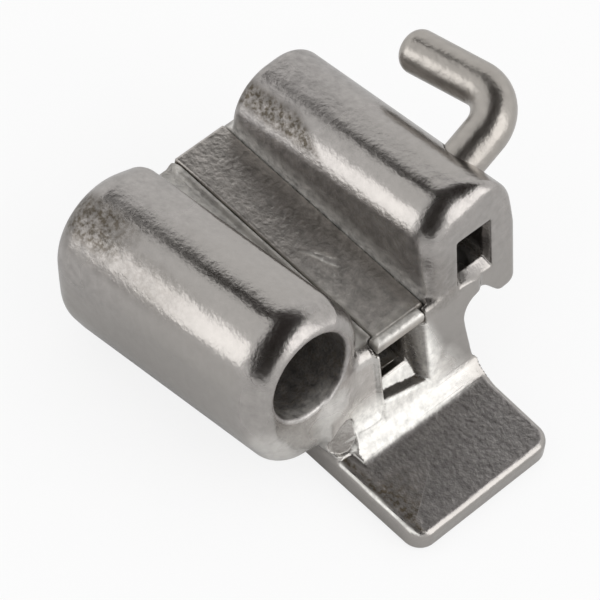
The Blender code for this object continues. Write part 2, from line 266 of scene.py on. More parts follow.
def base(x, y, z):
    half_x, half_y = BASE_HALF
    slant = math.tan(BASE_SKEW) * (y + half_y)
    ends, sides = span(x, -half_x, half_x - slant), span(y, -half_y, half_y)
    qx = np.maximum(ends + BASE_CORNER, 0.0)
    qy = np.maximum(sides + BASE_CORNER, 0.0)
    plan = np.where((qx > 0) | (qy > 0), np.hypot(qx, qy) - BASE_CORNER, np.maximum(ends, sides))
    upper = rounded_end(plan, z - flange_top(x), BASE_UPPER_ROUND)
    return np.maximum(upper, rounded_end(plan, -z, BASE_LOWER_ROUND))


def foot_band(x, y, z):
    """The sloping band that carries the front wall down to the flange."""
    foot_x, foot_z = BAND_FOOT
    slope_side = (x - foot_x) * math.sin(BAND_SLOPE) + (z - foot_z) * math.cos(BAND_SLOPE)
    ends = span(y, -0.87, 0.55 + 0.56 * ramp(x, 1.18, 1.36))
    return np.maximum(np.maximum(slope_side, span(x, 0.9, 1.7)), np.maximum(ends, 0.2 - z))


def archwire_slot(y, z):
    """The square passage under the cap."""
    return np.maximum(span(y, -SLOT_HALF_WIDTH, SLOT_HALF_WIDTH), span(z, SLOT_FLOOR, BLOCK_TOP + 1))


def mouth(x, y, z):
    """The funnel in front of the archwire slot: slanting floor, a step up to the slot, a closing right wall."""
    middle = sum(MOUTH_SIDES) / 2
    depth = -wall_distance(x, z)
    floor = MOUTH_FLOOR - math.tan(MOUTH_SLANT) * (y - middle)
    floor = floor + (SLOT_FLOOR - floor) * np.clip((depth - MOUTH_LENGTH) / 0.07, 0.0, 1.2)
    narrow = (MOUTH_SIDES[1] - SLOT_HALF_WIDTH) / 0.26 * depth
    sides = np.maximum(MOUTH_SIDES[0] - y, (y + np.maximum(narrow, 0.0) - MOUTH_SIDES[1]) * 0.85)
    opening = smooth_max(sides, np.maximum((floor - z) * 0.8, z - SLOT_TOP - CAP_THICKNESS / 2), 0.03)
    return np.maximum(opening, depth - 0.27)


def aux_slot(X, Y, Z):
    """The rectangular passage, with its mesial mouth opened out and its floor sloping down to the outside."""
    half_wide, half_deep = AUX_SLOT_HALF
    low, high = AUX_Z - half_deep, AUX_Z + half_deep
    straight = np.maximum(span(Y, AUX_Y - half_wide, AUX_Y + half_wide), span(Z, low, high))
    open_out = np.clip(X + AUX_MOUTH_LENGTH, 0, None) * AUX_MOUTH_FLARE
    floor = low - open_out - open_out * 1.6 * ramp(Y, AUX_Y - 0.25, AUX_Y + 0.3)
    sides = span(Y, AUX_Y - half_wide - open_out, AUX_Y + half_wide + open_out)
    flared = smooth_max(sides, span(Z, floor, high + 0.2 * open_out), 0.04)
    return np.where(X > -AUX_MOUTH_LENGTH, flared, straight)


def cap_plan(x, y, grow):
    strip = np.maximum(span(x, BLOCK_BACK, WALL_X - NOSE_LENGTH), span(y, *CAP_SIDES))
    nose = np.maximum(span(x, WALL_X - NOSE_LENGTH - 0.05, NOSE_FRONT), span(y, *NOSE_SIDES))
    return np.minimum(strip, nose) - grow


def hook_axes(X, Y, Z):
    """Points across the hook's leg: along the tube, up the leg and square to both."""
    c, s = math.cos(HOOK_RISE), math.sin(HOOK_RISE)
    dy, dz = Y - AUX_CROWN[0], Z - AUX_CROWN[1]
    return X - HOOK_X, dy * c + dz * s, dz * c - dy * s


def relief_floor(x, y, z):
    """Distance above the flat bottom of the relief, which tilts to the left and up."""
    at, lean_y, lean_z = RELIEF_PLANE
    above = (x - at) - lean_y * (y + 0.965) - lean_z * (z - 0.68)
    return above / math.sqrt(1 + lean_y * lean_y + lean_z * lean_z)


def casting(x, y, z):
    """Distance to the one-piece body. Each join and each cut is given the radius of its corner."""
    X, Y, Z = tube_axes(x, y, z)
    fillet = 0.10 + 0.26 * ramp(1.4 - z, 0.0, 0.4)
    body = smooth_min(block(x, y, z), headgear(X, Y, Z, z), fillet)
    body = smooth_min(body, auxiliary(X, Y, Z), 0.12)
    body = carve(body, undercut_section(Y, Z), 0.06)
    plate = base(x, y, z)
    body = smooth_min(body, foot_band(x, y, z), 0.10)
    disc = relief_section(Y, Z)
    floor = relief_floor(x, y, z)
    body = smooth_min(body, np.maximum(np.maximum(disc - 0.02, floor), -0.5 - X), 0.02)
    body = carve(body, np.maximum(disc, -floor), 0.015)
    body = smooth_min(body, plate, 0.03)
    body = carve(body, np.hypot(Y, Z) - HEADGEAR_BORE, 0.06)
    body = carve(body, aux_slot(X, Y, Z), 0.03)
    body = carve(body, archwire_slot(y, z), 0.02)
    body = carve(body, mouth(x, y, z), 0.05)
    seat = np.maximum(cap_plan(np.clip(x, BLOCK_BACK + 0.2, WALL_X), y, SEAT_GAP), SLOT_TOP - z)
    body = carve(body, seat, 0.03)
    body = carve(body, np.hypot(crease(x, y, z), body) - 0.022, 0.02)
    along, up, across = hook_axes(X, Y, Z)
    socket = np.maximum(np.hypot(along, across) - HOOK_RADIUS - SEAT_GAP, HOOK_ROOT - SEAT_GAP - up)
    return carve(body, socket, 0.015)


def crease(x, y, z):
    """Distance from a flow line between the mouth's lower corner and the foot of the headgear tube."""
    reach = np.full(np.shape(x), 9.0)
    for (y0, z0), (y1, z1) in zip(CREASE[:-1], CREASE[1:]):
        t = ((y - y0) * (y1 - y0) + (z - z0) * (z1 - z0)) / ((y1 - y0) ** 2 + (z1 - z0) ** 2)
        t = np.clip(t, 0.0, 1.0)
        reach = np.minimum(reach, np.hypot(y - y0 - t * (y1 - y0), z - z0 - t * (z1 - z0)))
    return reach + 4 * np.maximum(1.0 - x, 0.0)


def pinches(x, y):
    """Short wrinkles that the closing pliers left across the cap."""
    depth = np.zeros(np.shape(x))
    for x0, y0, turn, length, lift in PINCHES:
        c, s = math.cos(turn), math.sin(turn)
        along, across = (x - x0) * c + (y - y0) * s, (y - y0) * c - (x - x0) * s
        depth = depth + lift * np.exp(-((along / length) ** 2) - (across / 0.022) ** 2)
    return depth


def cap_shape(x, y, z):
    """Distance to the cap: a thin strip with a bar across its front."""
    low = SLOT_TOP + SEAT_GAP
    z = z + pinches(x, y)
    plan = cap_plan(x, y, 0.0)
    body = rounded_end(plan, z - low - CAP_THICKNESS, 0.035 + 0.035 * ramp(x, 0.86, 0.92))
    return smooth_max(body, low - z, 0.02)


# Level set to mesh

def sample(shape, axes, chunk=12):
    """The distances on a grid, a few slices at a time."""
    xs, ys, zs = axes
    field = np.empty((len(xs), len(ys), len(zs)))
    for start in range(0, len(xs), chunk):
        x, y, z = np.meshgrid(xs[start:start + chunk], ys, zs, indexing="ij")
        field[start:start + chunk] = shape(x, y, z)
    return field


def crossing_points(field, axes, step):
    """One vertex in each cell that the surface passes through, and the cells' vertex numbers."""
    cells = tuple(n - 1 for n in field.shape)
    corners = [(i, j, k) for i in (0, 1) for j in (0, 1) for k in (0, 1)]
    value = {c: field[c[0]:c[0] + cells[0], c[1]:c[1] + cells[1], c[2]:c[2] + cells[2]] for c in corners}
    inside = sum((value[c] < 0).astype(np.int8) for c in corners)
    active = np.nonzero((inside > 0) & (inside < 8))
    total = np.zeros((len(active[0]), 3))
    count = np.zeros(len(active[0]))
    for a in corners:
        for axis in range(3):
            if a[axis]:
                continue
            b = tuple(n + (i == axis) for i, n in enumerate(a))
            first, second = value[a][active], value[b][active]
            cut = (first < 0) != (second < 0)
            share = np.where(cut, first / np.where(cut, first - second, 1.0), 0.0)
            point = np.tile(np.array(a, float), (len(share), 1))
            point[:, axis] = share
            total += point * cut[:, None]
            count += cut
    number = np.full(cells, -1)
    number[active] = np.arange(len(active[0]))
    origin = np.array([axis[0] for axis in axes])
    points = origin + (np.stack(active, axis=1) + total / count[:, None]) * step
    return points, number


def crossing_faces(field, number):
    """A quad round each grid edge that the surface cuts, facing out."""
    quads = []
    for axis in range(3):
        u, v = (axis + 1) % 3, (axis + 2) % 3
        inner = [slice(None)] * 3
        inner[u] = inner[v] = slice(1, -1)
        near, far = list(inner), list(inner)
        near[axis], far[axis] = slice(None, -1), slice(1, None)
        first, second = field[tuple(near)] < 0, field[tuple(far)] < 0
        for leaves in (True, False):
            at = np.stack(np.nonzero(first & ~second if leaves else ~first & second), axis=1)
            at[:, u] += 1
            at[:, v] += 1
            ring = []
            for du, dv in ((1, 1), (0, 1), (0, 0), (1, 0)):
                cell = at.copy()
                cell[:, u] -= du
                cell[:, v] -= dv
                ring.append(number[tuple(cell.T)])
            quads.append(np.stack(ring if leaves else ring[::-1], axis=1))
    return np.concatenate(quads)


def slope(shape, points, reach=0.004):
    """The shape's gradient at points."""
    parts = []
    for axis in range(3):
        step = np.zeros(3)
        step[axis] = reach
        ahead, behind = points + step, points - step
        parts.append((shape(*ahead.T) - shape(*behind.T)) / (2 * reach))
    return np.stack(parts, axis=1)


def settle(shape, points, step, turns=3):
    """Moves points onto the shape's surface."""
    for _ in range(turns):
        gradient = slope(shape, points)
        size = np.maximum((gradient * gradient).sum(axis=1), 0.25)
        move = gradient * (shape(*points.T) / size)[:, None]
        points = points - np.clip(move, -step / 2, step / 2)
    return points


def thinned(piece, most):
    """Merges faces where the surface is flattest until no more than that many triangles are left."""
    triangles = sum(len(face.vertices) - 2 for face in piece.data.polygons)
    if triangles <= most:
        return
    thin = piece.modifiers.new("thin", "DECIMATE")
    thin.ratio = most / triangles
    bpy.context.view_layer.update()
    seen = piece.evaluated_get(bpy.context.evaluated_depsgraph_get())
    mesh = bpy.data.meshes.new_from_object(seen)
    piece.modifiers.remove(thin)
    piece.data = mesh


def level_set_mesh(name, shape, low, high, step):
    """A smooth-shaded mesh of the shape's surface, in metres."""
    axes = [np.arange(a, b + step, step) for a, b in zip(low, high)]
    field = sample(shape, axes)
    points, number = crossing_points(field, axes, step)
    faces = crossing_faces(field, number)
    points = settle(shape, points, step)
    mesh = bpy.data.meshes.new(name)
    mesh.from_pydata((points * MM).tolist(), [], faces.tolist())
    mesh.update()
    piece = bpy.data.objects.new(name, mesh)
    bpy.context.scene.collection.objects.link(piece)
    thinned(piece, MOST_TRIANGLES)
    mesh = piece.data
    mesh.name = name
    points = np.empty(len(mesh.vertices) * 3)
    mesh.vertices.foreach_get("co", points)
    points = settle(shape, points.reshape(-1, 3) / MM, step, 1)
    mesh.vertices.foreach_set("co", (points * MM).ravel())
    mesh.update()
    normals = slope(shape, points, 0.008)
    normals /= np.maximum(np.linalg.norm(normals, axis=1), 1e-9)[:, None]
    mesh.shade_smooth()
    mesh.normals_split_custom_set_from_vertices(normals.tolist())
    return piece


body = level_set_mesh("cast_body", casting, (-2.85, -2.35, -0.1), (2.85, 2.05, 3.05), CAST_STEP)
cap = level_set_mesh("cap_strip", cap_shape, (-2.5, -0.4, 1.40), (1.1, 0.56, 1.66), CAP_STEP)

# The hook: a pin swept along a bent path

ADD = {"operation": "ADD"}
SUBTRACT = {"operation": "SUBTRACT"}
MULTIPLY = {"operation": "MULTIPLY"}
MULTIPLY_ADD = {"operation": "MULTIPLY_ADD"}


def add_node(tree, kind, settings=None, links=None, **values):
    """Adds a node. Values go to its inputs by name, or by number as i0, and links join outputs to them."""
    node = tree.nodes.new(kind)
    for key, value in (settings or {}).items():
        setattr(node, key, value)
    for key, value in values.items():
        numbered = key[0] == "i" and key[1:].isdigit()
        node.inputs[int(key[1:]) if numbered else key.replace("_", " ")].default_value = value
    for key, source in (links or {}).items():
        tree.links.new(source, node.inputs[key])
    return node


def pin_tree(material):
    """Geometry nodes that round a path's corner, sweep a pin along it and dome its free end."""
    tree = bpy.data.node_groups.new("bent_pin", "GeometryNodeTree")
    sizes = {"Radius": HOOK_RADIUS, "Bend": HOOK_BEND, "Dome": HOOK_TIP_ROUND}
    tree.interface.new_socket("Path", in_out="INPUT", socket_type="NodeSocketGeometry")
    for name in sizes:
        tree.interface.new_socket(name, in_out="INPUT", socket_type="NodeSocketFloat")
    tree.interface.new_socket("Pin", in_out="OUTPUT", socket_type="NodeSocketGeometry")
    given = add_node(tree, "NodeGroupInput").outputs

    curve = add_node(tree, "GeometryNodeMeshToCurve", links={0: given["Path"]})
    bend = add_node(tree, "GeometryNodeFilletCurve", {"mode": "POLY"},
                    {"Curve": curve.outputs[0], "Radius": given["Bend"]}, Count=40)
    even = add_node(tree, "GeometryNodeResampleCurve", links={"Curve": bend.outputs[0]}, Count=220)

    # The pin's radius falls off over the last stretch as a quarter circle does
    length = add_node(tree, "GeometryNodeCurveLength", links={0: even.outputs[0]})
    place = add_node(tree, "GeometryNodeSplineParameter")
    left = add_node(tree, "ShaderNodeMath", SUBTRACT, {0: length.outputs[0], 1: place.outputs["Length"]})
    share = add_node(tree, "ShaderNodeMath", {"operation": "DIVIDE", "use_clamp": True},
                     {0: left.outputs[0], 1: given["Dome"]})
    short = add_node(tree, "ShaderNodeMath", SUBTRACT, {1: share.outputs[0]}, i0=1.0)
    square = add_node(tree, "ShaderNodeMath", MULTIPLY, {0: short.outputs[0], 1: short.outputs[0]})
    rest = add_node(tree, "ShaderNodeMath", SUBTRACT, {1: square.outputs[0]}, i0=1.0)
    rise = add_node(tree, "ShaderNodeMath", {"operation": "SQRT"}, {0: rest.outputs[0]})
    drop = add_node(tree, "ShaderNodeMath", SUBTRACT, {1: rise.outputs[0]}, i0=1.0)
    trim = add_node(tree, "ShaderNodeMath", MULTIPLY, {0: drop.outputs[0], 1: given["Dome"]})
    girth = add_node(tree, "ShaderNodeMath", SUBTRACT, {0: given["Radius"], 1: trim.outputs[0]})

    ring = add_node(tree, "GeometryNodeCurvePrimitiveCircle", Resolution=64, Radius=1.0)
    thick = add_node(tree, "GeometryNodeSetCurveRadius",
                     links={"Curve": even.outputs[0], "Radius": girth.outputs[0]})
    swept = add_node(tree, "GeometryNodeCurveToMesh", links={
        "Curve": thick.outputs[0], "Profile Curve": ring.outputs[0], "Scale": girth.outputs[0]}, Fill_Caps=True)
    smooth = add_node(tree, "GeometryNodeSetShadeSmooth", links={0: swept.outputs[0]})
    real = add_node(tree, "GeometryNodeRealizeInstances", links={0: smooth.outputs[0]})
    metal = add_node(tree, "GeometryNodeSetMaterial", links={0: real.outputs[0]}, Material=material)
    add_node(tree, "NodeGroupOutput", links={0: metal.outputs[0]})
    return tree, sizes


def tube_point(X, Y, Z):
    """A place along and across the tubes, in the part's frame."""
    c, s = math.cos(TUBE_PITCH), math.sin(TUBE_PITCH)
    return (TUBE_ORIGIN[0] + X * c - Z * s, TUBE_ORIGIN[1] + Y, TUBE_ORIGIN[2] + X * s + Z * c)


def bent_hook(material):
    """The pin, from its root in the socket over the corner to the arm's tip."""
    crown_y, crown_z = AUX_CROWN

    def out(along, up):
        across, above = up * math.cos(HOOK_RISE), up * math.sin(HOOK_RISE)
        return tube_point(HOOK_X + along, crown_y + across, crown_z + above)

    tip = (-HOOK_ARM * math.cos(HOOK_SINK), HOOK_CORNER - HOOK_ARM * math.sin(HOOK_SINK))
    path = [out(0, HOOK_ROOT), out(0, HOOK_CORNER), out(*tip)]
    line = bpy.data.meshes.new("hook_path")
    line.from_pydata([tuple(v * MM for v in p) for p in path], [(0, 1), (1, 2)], [])
    pin = bpy.data.objects.new("hook_pin", line)
    bpy.context.scene.collection.objects.link(pin)
    tree, sizes = pin_tree(material)
    sweep = pin.modifiers.new("sweep", "NODES")
    sweep.node_group = tree
    for socket in tree.interface.items_tree:
        if socket.in_out == "INPUT" and socket.name in sizes:
            sweep[socket.identifier] = sizes[socket.name] * MM
    bpy.context.view_layer.update()
    seen = pin.evaluated_get(bpy.context.evaluated_depsgraph_get())
    mesh = bpy.data.meshes.new_from_object(seen)
    pin.modifiers.remove(sweep)
    pin.data = mesh
    mesh.name = "hook_pin"
    return pin


# Finishes

def from_hex(code):
    """Linear colour of an sRGB hex value."""
    parts = [int(code[i:i + 2], 16) / 255 for i in (1, 3, 5)]
    return tuple(c / 12.92 if c <= 0.04045 else ((c + 0.055) / 1.055) ** 2.4 for c in parts) + (1.0,)


# Brown of residue and of the shade painted into corners, creases, the mouth and the bore
RESIDUE_AND_SHADE = "#463E32"
# Pale of the blasted matt faces and of the highlights painted on edges, the mouth's step and the cap
BLAST_AND_HIGHLIGHT = "#F2F0EB"
MARKS = ("skin", "corner", "blast_and_highlight")


def metal(name, base_hex, skin_hex, roughness, skin_roughness,
          grain_mm, grain_depth_mm, dent_depth_mm, wave_depth_mm):
    """Steel whose grain, soft waviness, sintered skin, and residue with painted shade in its corners all follow
    the piece.

    Three marks on the piece steer it, each from 0 to 1: skin is rough as sintered or rolled, corner
    holds brown residue and painted shade, and the pale mark is blasted matt steel and painted highlight.
    """
    material = bpy.data.materials.new(name)
    material.use_nodes = True
    tree = material.node_tree
    tree.nodes.clear()
    place = add_node(tree, "ShaderNodeTexCoord").outputs["Object"]
    skin, corner, blast_and_highlight = [
        add_node(tree, "ShaderNodeAttribute", {"attribute_name": mark}).outputs["Fac"] for mark in MARKS]

    patterns = {  # size in millimetres, detail and roughness
        "grain": (grain_mm, 2.0, 0.5),
        "fleck": (0.055, 3.0, 0.6),
        "vein": (0.11, 4.0, 0.65),
        "dent": (0.16, 2.0, 0.5),
        "wave": (0.5, 1.0, 0.5),
        "cloud": (0.9, 2.0, 0.5),
    }
    noise = {
        key: add_node(tree, "ShaderNodeTexNoise", links={"Vector": place},
                      Scale=1 / (size * MM), Detail=detail, Roughness=share).outputs["Fac"]
        for key, (size, detail, share) in patterns.items()}

    # The residue and painted shade break up into flecks
    speck = add_node(tree, "ShaderNodeMapRange", links={"Value": noise["fleck"]},
                     From_Min=0.35, From_Max=0.62, To_Min=0.35, To_Max=1.15)
    residue_and_shade = add_node(tree, "ShaderNodeMath", {"operation": "MULTIPLY", "use_clamp": True},
                       {0: corner, 1: speck.outputs["Result"]})

    # Colour: bare steel, then its skin, the residue with painted shade, and the blasted places with painted
    # highlights
    colour = add_node(tree, "ShaderNodeMix", {"data_type": "RGBA"}, {"Factor": skin})
    colour.inputs["A"].default_value = from_hex(base_hex)
    colour.inputs["B"].default_value = from_hex(skin_hex)
    for code, share in ((RESIDUE_AND_SHADE, residue_and_shade.outputs[0]), (BLAST_AND_HIGHLIGHT, blast_and_highlight)):
        colour = add_node(tree, "ShaderNodeMix", {"data_type": "RGBA"}, {
            "Factor": share, "A": colour.outputs["Result"]})
        colour.inputs["B"].default_value = from_hex(code)

    # Wherever the surface isn't bright, its tone varies more and its grain stands higher
    marked = add_node(tree, "ShaderNodeMath", ADD, {0: skin, 1: blast_and_highlight})
    marked = add_node(tree, "ShaderNodeMath", ADD, {0: marked.outputs[0], 1: corner})
    swing = add_node(tree, "ShaderNodeMath", MULTIPLY_ADD, {0: marked.outputs[0]}, i1=1.1, i2=0.2)
    uneven = add_node(tree, "ShaderNodeMath", SUBTRACT, {0: noise["vein"]}, i1=0.5)
    tone = add_node(tree, "ShaderNodeMath", MULTIPLY_ADD, {0: uneven.outputs[0], 1: swing.outputs[0]}, i2=0.97)
    mottled = add_node(tree, "ShaderNodeVectorMath", {"operation": "SCALE"}, {
        0: colour.outputs["Result"], "Scale": tone.outputs[0]})

    rough = add_node(tree, "ShaderNodeMath", MULTIPLY_ADD, {0: skin},
                     i1=skin_roughness - roughness, i2=roughness)
    rough = add_node(tree, "ShaderNodeMath", MULTIPLY_ADD, {0: blast_and_highlight, 2: rough.outputs[0]}, i1=0.2)
    rough = add_node(tree, "ShaderNodeMath", MULTIPLY_ADD, {0: noise["cloud"], 2: rough.outputs[0]}, i1=0.12)

    bare = add_node(tree, "ShaderNodeMath", MULTIPLY_ADD, {0: residue_and_shade.outputs[0]}, i1=-0.6, i2=1.0)
    bare = add_node(tree, "ShaderNodeMath", {"operation": "MULTIPLY_ADD", "use_clamp": True},
                    {0: blast_and_highlight, 2: bare.outputs[0]}, i1=-0.8)

    depth = add_node(tree, "ShaderNodeMath", MULTIPLY_ADD, {0: marked.outputs[0]}, i1=2.0, i2=1.0)
    height = add_node(tree, "ShaderNodeMath", MULTIPLY, {0: noise["grain"], 1: depth.outputs[0]})
    relief = add_node(tree, "ShaderNodeBump", links={"Height": height.outputs[0]},
                      Distance=grain_depth_mm * MM, Strength=1.0)
    for key, depth_mm in (("dent", dent_depth_mm), ("wave", wave_depth_mm)):
        relief = add_node(tree, "ShaderNodeBump", links={"Height": noise[key], "Normal": relief.outputs[0]},
                          Distance=depth_mm * MM, Strength=1.0)
    shader = add_node(tree, "ShaderNodeBsdfPrincipled", links={
        "Base Color": mottled.outputs[0], "Metallic": bare.outputs[0], "Roughness": rough.outputs[0],
        "Normal": relief.outputs[0]})
    add_node(tree, "ShaderNodeOutputMaterial", links={"Surface": shader.outputs[0]})
    return material


# Injection-moulded and sintered stainless steel, tumbled bright: soft-edged nickel-grey reflections with
# faint mottling, and a darker rough skin where the tumbling stones don't reach.
cast_steel = metal("tumbled_sintered_steel", "#A8A4A0", "#A8A4A2", 0.14, 0.36, 0.050, 0.0022, 0.0035, 0.008)

# Cold-rolled stainless strip left as rolled: darker, matt and finely streaked.
rolled_steel = metal("rolled_strip_steel", "#B9B4AE", "#B9B4AF", 0.24, 0.34, 0.055, 0.0026, 0.004, 0.004)

# Drawn stainless wire, cut and polished: rounder, softer highlights and a few handling marks.
drawn_steel = metal("drawn_wire_steel", "#B0ABA5", "#A8A29C", 0.23, 0.36, 0.050, 0.0026, 0.006, 0.010)


# Where each piece is rough, stained or blasted, and where shade and highlights are painted on it

CORNER_REACH = 0.3
CORNER_MOST = 0.9
PINCH_SHINE = 22.5


def write_attribute(piece, name, values):
    layer = piece.data.attributes.new(name, "FLOAT", "POINT")
    layer.data.foreach_set("value", np.asarray(values, np.float32))


def piece_points(piece):
    """A piece's vertices in millimetres, and their normals."""
    count = len(piece.data.vertices)
    points, normals = np.empty(count * 3), np.empty(count * 3)
    piece.data.vertices.foreach_get("co", points)
    piece.data.vertices.foreach_get("normal", normals)
    return points.reshape(-1, 3) / MM, normals.reshape(-1, 3)


def enclosed(shape, points, normals, reach):
    """How much of the room in front of a surface is taken by the rest of the piece, from 0 to 1."""
    taken = np.zeros(len(points))
    for share in (0.4, 0.7, 1.0):
        step = reach * share
        taken += np.clip(1 - shape(*(points + normals * step).T) / step, 0, 1) / 3
    return taken


def finish_marks(piece, shape, skin, blast_and_highlight, stain_and_shade):
    """Writes the marks that steer the metal. Shade is painted in residue brown into closed corners, but not in
    the relief.
    """
    points, normals = piece_points(piece)
    write_attribute(piece, "skin", skin(points, normals))
    write_attribute(piece, "blast_and_highlight", blast_and_highlight(points, normals))
    # Painted shade: the more the piece closes round a surface, the darker and browner it is painted
    corner = ramp(enclosed(shape, points, normals, CORNER_REACH), 0.30, 0.90) * CORNER_MOST
    corner = corner * (1 - 0.8 * in_relief(points))
    write_attribute(piece, "corner", np.clip(np.maximum(corner, stain_and_shade(points, normals)), 0, 1))


def in_relief(points):
    X, Y, Z = tube_axes(*points.T)
    return ramp(-relief_section(Y, Z), -0.01, 0.015) * ramp(X, -0.35, -0.25)


def in_mouth(x, y, z):
    return ramp(mouth(x, y, z), 0.02, -0.01)


def in_valley(y, z, normals):
    """The auxiliary tube's steep side that faces the cap."""
    return ramp(y, 0.40, 0.46) * ramp(y, 1.0, 0.9) * ramp(z, 1.5, 1.6) * ramp(-normals[:, 1], 0.86, 0.97)


def casting_skin(points, normals):
    """The sintered skin stays on the flange's top and in the headgear bore, and fades along the tubes."""
    x, y, z = points.T
    X, Y, Z = tube_axes(x, y, z)
    flange = ramp(x, 1.2, 1.3) * ramp(normals[:, 2], 0.9, 0.985) * ramp(z - flange_top(x), 0.03, 0.01)
    bore = ramp(HEADGEAR_BORE + 0.06 - np.hypot(Y, Z), 0.0, 0.05)
    crown = ramp(Y, 1.8, 2.0) * (0.06 + 0.16 * ramp(-x, 0.0, 1.0))
    tubes = (0.45 * ramp(-x, 0.6, 2.3) + crown) * ramp(z, 1.0, 1.4) * ramp(x, 0.2, -0.2)
    rim = 0.3 * ramp(X, -0.50, -0.25) * ramp(z, 1.2, 1.5) * ramp(x, 1.05, 0.95)
    return np.clip(flange + bore + tubes + 0.6 * in_valley(y, z, normals) + rim, 0, 1)


def casting_blast_and_highlight(points, normals):
    """The blasted front wall is palest: a matt finish, painted near white for the light on it. The headgear
    tube's end and the welds beside the cap are less pale. The step in the mouth and the rounded left edge of
    the flange get painted highlights.
    """
    x, y, z = points.T
    X, Y, Z = tube_axes(x, y, z)
    ahead, right, up = normals.T
    above = z - flange_top(x)
    inside = in_mouth(x, y, z)

    # Blasted finish and painted light: the front wall is painted near white where it faces forward
    front = ramp(wall_distance(x, z), -0.12, -0.05) * ramp(ahead, 0.15, 0.35)
    sides = (0.4 + 0.6 * ramp(y, -0.90, -0.75)) * ramp(y, -1.35, -1.15) * ramp(1.05 - y - 0.35 * z, 0.0, 0.25)
    sides = sides * (1 - 0.7 * ramp(y, -0.25, -0.35) * ramp(z, 0.65, 1.0))
    height = ramp(z, 1.5, 1.4) * ramp(above, 0.0, 0.02) * (1 - 0.14 * ramp(z, 0.66, 0.58))
    wall = front * sides * height * (1 - inside)
    foot = 0.35 * ramp(X, -0.3, -0.1) * ramp(Z, -0.3, -0.7) * ramp(y, -0.7, -0.9) * ramp(above, 0.0, 0.04)

    # Painted highlight on the step face in the mouth
    step = inside * ramp(ahead, 0.3, 0.5) * ramp(-right, 0.6, 0.4)
    step = step * ramp(z, SLOT_FLOOR + 0.02, SLOT_FLOOR - 0.01)
    # Painted highlight along the flange's rounded left edge
    edge = ramp(x, 1.2, 1.4) * ramp(z, 0.50, 0.45) * ramp(-right, 0.45, 0.6) * ramp(up, 0.5, 0.65)
    left_weld = ramp(y, -0.56, -0.50) * ramp(y, -0.24, -0.29)
    right_weld = 1.5 * ramp(y, 0.47, 0.50) * ramp(z, 1.95, 1.6) * ramp(y, 0.9, 0.8)
    weld = 0.32 * ramp(z, 1.40, 1.50) * ramp(x, 0.9, 0.8) * ramp(X, -3.45, -3.3)
    weld = weld * np.maximum(left_weld, right_weld)
    return np.clip(np.maximum(wall, foot) * (1 - 0.75 * in_relief(points)) + step + edge + weld, 0, 1)


def casting_stain_and_shade(points, normals):
    """Painted shade in the mouth, the headgear bore, the grooves beside the cap, along the crease, in the
    relief and on the auxiliary tube's mesial face next to the cap; a painted dark reflection on the flange's
    top just inside its left edge; darker bands round the tubes towards their distal ends.
    """
    x, y, z = points.T
    X, Y, Z = tube_axes(x, y, z)
    right, up = normals[:, 1], normals[:, 2]
    # Painted shade on the walls and floor of the mouth
    walls = in_mouth(x, y, z) * np.maximum(ramp(-right, 0.5, 0.9), 0.5 * ramp(up, 0.5, 0.9))
    # Painted dark reflection on the flange's top just inside its rounded left edge
    edge = ramp(x, 1.22, 1.3) * ramp(z, 0.50, 0.45) * ramp(up, 0.8, 0.95)
    edge = edge * ramp(y, -1.06, -1.04) * ramp(y, -0.95, -1.00)
    # Painted shade inside the headgear bore
    bore = ramp(HEADGEAR_BORE + 0.02 - np.hypot(Y, Z), 0.0, 0.03)

    # Degrees round the headgear tube, with 90 on top and 180 on the left
    turn = np.degrees(np.arctan2(Z, Y))
    distal = 0.85 * ramp(-X, 2.1, 2.9) * ramp(turn, 100, 112) * ramp(turn, 155, 135)
    upper_band = 0.3 * ramp(-X, 0.8, 2.0) * ramp(turn, 116, 126) * ramp(turn, 162, 152)
    barrel = np.maximum(distal, upper_band) * ramp(y, -0.45, -0.55)

    # The same round the auxiliary tube's crown: the darker band climbs higher towards its distal end
    crown_y, crown_z = AUX_CROWN
    turn = np.degrees(np.arctan2(Z - crown_z, Y - crown_y)) % 360
    start = 124 + 34 * ramp(X, -2.5, -1.5)
    flank = 0.9 * ramp(turn, start, start + 12) * ramp(y, 0.55, 0.62) * ramp(y, 1.3, 1.2)
    flank = flank * ramp(z, 1.5, 1.6) * ramp(X, -0.15, -0.35)
    # Painted shade on the auxiliary tube's mesial face next to the cap
    face = 0.35 * ramp(X, -0.12, -0.05) * ramp(Y, 2.45, 2.25) * ramp(Z, 0.5, 0.2)
    face = face * ramp(y, 0.4, 0.5) * ramp(z, 1.45, 1.6)

    # Painted shade in the grooves beside the cap
    left_land = ramp(y, -0.56, -0.50) * ramp(y, -0.20, -0.30)
    right_land = ramp(y, 0.44, 0.50) * ramp(y, 0.66, 0.60)
    lands = 0.8 * ramp(z, 1.40, 1.50) * ramp(x, 0.95, 0.85) * (1 - ramp(y, 0.3, 0.4) * ramp(z, 1.56, 1.66))
    lands = lands * np.maximum(left_land, right_land)
    # Painted shade on the auxiliary tube's side that faces the cap, along the crease and, below, in the relief
    valley = 0.5 * in_valley(y, z, normals)
    flow = 0.7 * ramp(crease(x, y, z), 0.05, 0.02)
    return np.maximum.reduce([
        walls, edge, bore, barrel, flank, face, lands, valley, flow, 0.2 * in_relief(points)])


def cap_skin(points, normals):
    """The strip's flat top is as rolled."""
    return ramp(normals[:, 2], 0.5, 0.9)


